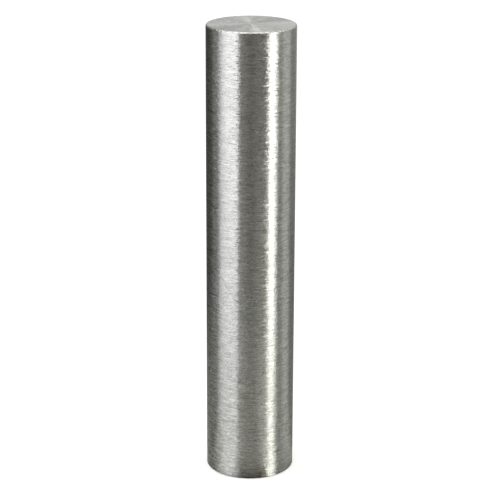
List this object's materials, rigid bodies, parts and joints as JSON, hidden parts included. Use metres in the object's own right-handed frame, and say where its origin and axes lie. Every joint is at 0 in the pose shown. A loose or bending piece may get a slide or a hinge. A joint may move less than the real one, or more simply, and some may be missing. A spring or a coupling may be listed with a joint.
{
  "type": "tungsten rod",
  "caption": "Plain solid cylinder of tungsten, ground on its side and faced square at both ends, with narrow broken edges, standing on one end.",
  "frame": {"origin": "centre of the foot face, the faced end that the rod stands on", "axes": "+Z along the rod's axis, from the foot face up to the top face; X and Y are equal, as the rod is round"},
  "size_m": [0.0126, 0.0126, 0.066],
  "materials": {
    "ground_tungsten": "centreless-ground side with fine circumferential marks, faced ends, broken edges"
  },
  "bodies": {
    "root": {"rod": "ground_tungsten"}
  },
  "joints": []
}
